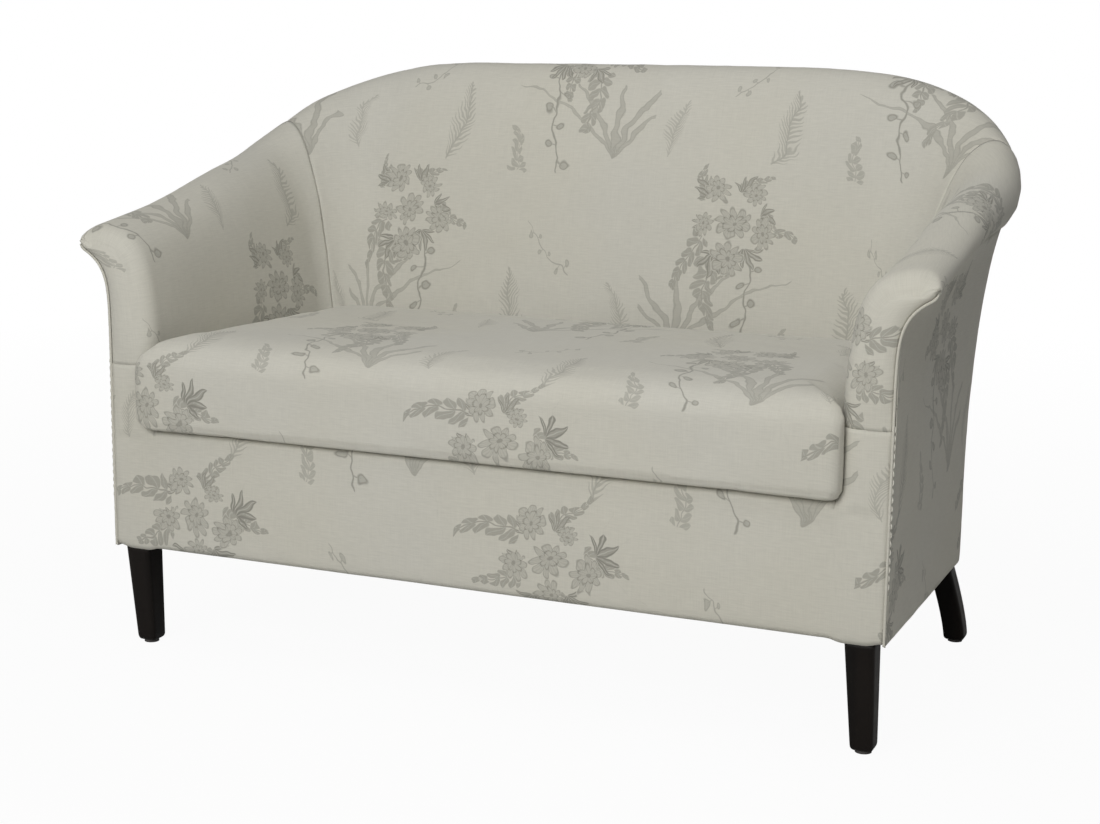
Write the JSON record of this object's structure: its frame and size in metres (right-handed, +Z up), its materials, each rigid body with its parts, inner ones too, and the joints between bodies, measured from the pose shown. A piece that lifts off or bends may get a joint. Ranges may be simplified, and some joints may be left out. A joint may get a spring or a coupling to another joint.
{
  "type": "loveseat",
  "caption": "Tub loveseat with one continuous rolled wall for arms and back, a loose bench cushion that lifts out, a sprung seat and square tapered legs.",
  "frame": {"origin": "on the floor under the middle of the outline", "axes": "+X to the sitter's left along the width, +Y from the front to the back, +Z up; the seat faces -Y"},
  "size_m": [1.28, 0.707, 0.8654],
  "materials": {
    "printed_linen": "matte",
    "piping": "matte",
    "deck_felt": "matte",
    "dust_cloth": "matte",
    "zip_tape": "matte",
    "foam": "matte",
    "dark_wood": "satin",
    "steel": "satin",
    "glide_plastic": "matte",
    "beech": "matte",
    "plywood": "matte"
  },
  "bodies": {
    "sofa": {"front_seat_rail": "beech", "back_seat_rail": "beech", "side_seat_rail_left": "beech", "side_seat_rail_right": "beech", "corner_rail_left": "plywood", "corner_rail_right": "plywood", "seat_stretcher": "beech", "corner_braces": "beech", "front_post_left": "plywood", "front_post_right": "plywood", "arm_rib_left": "plywood", "arm_rib_right": "plywood", "corner_rib_left": "plywood", "corner_rib_right": "plywood", "back_rib_left": "plywood", "back_rib_centre": "plywood", "back_rib_right": "plywood", "arm_rail_left": "beech", "arm_rail_right": "beech", "crest_rail": "beech", "arm_board_left": "plywood", "arm_board_right": "plywood", "back_board": "plywood", "seat_springs": "steel", "spring_clips": "steel", "seat_pad": "deck_felt", "arm_foam_left": "foam", "arm_foam_right": "foam", "back_foam": "foam", "arm_front_pad_left": "foam", "arm_front_pad_right": "foam", "front_border_pad": "foam", "inside_arm_cover_left": "printed_linen", "inside_arm_cover_right": "printed_linen", "inside_back_cover": "printed_linen", "outside_arm_cover_left": "printed_linen", "outside_arm_cover_right": "printed_linen", "outside_back_cover": "printed_linen", "front_border_cover": "printed_linen", "dust_cover": "dust_cloth", "arm_piping_left": "piping", "arm_piping_right": "piping", "front_leg_left": "dark_wood", "front_leg_right": "dark_wood", "rear_leg_left": "dark_wood", "rear_leg_right": "dark_wood", "leg_bolts": "steel", "leg_inserts": "steel", "glides": "glide_plastic"},
    "cushion": {"cushion_cover": "printed_linen", "cushion_core": "foam", "cushion_zip": "zip_tape"},
    "slider": {"zip_slider": "steel"}
  },
  "joints": [
    {"name": "cushion_lift", "type": "slide", "parent": "sofa", "child": "cushion", "axis": [0, 0, 1], "range_m": [0, 0.55]},
    {"name": "zip_slide", "type": "slide", "parent": "cushion", "child": "slider", "axis": [-1, 0, 0], "range_m": [0, 0.56]}
  ]
}
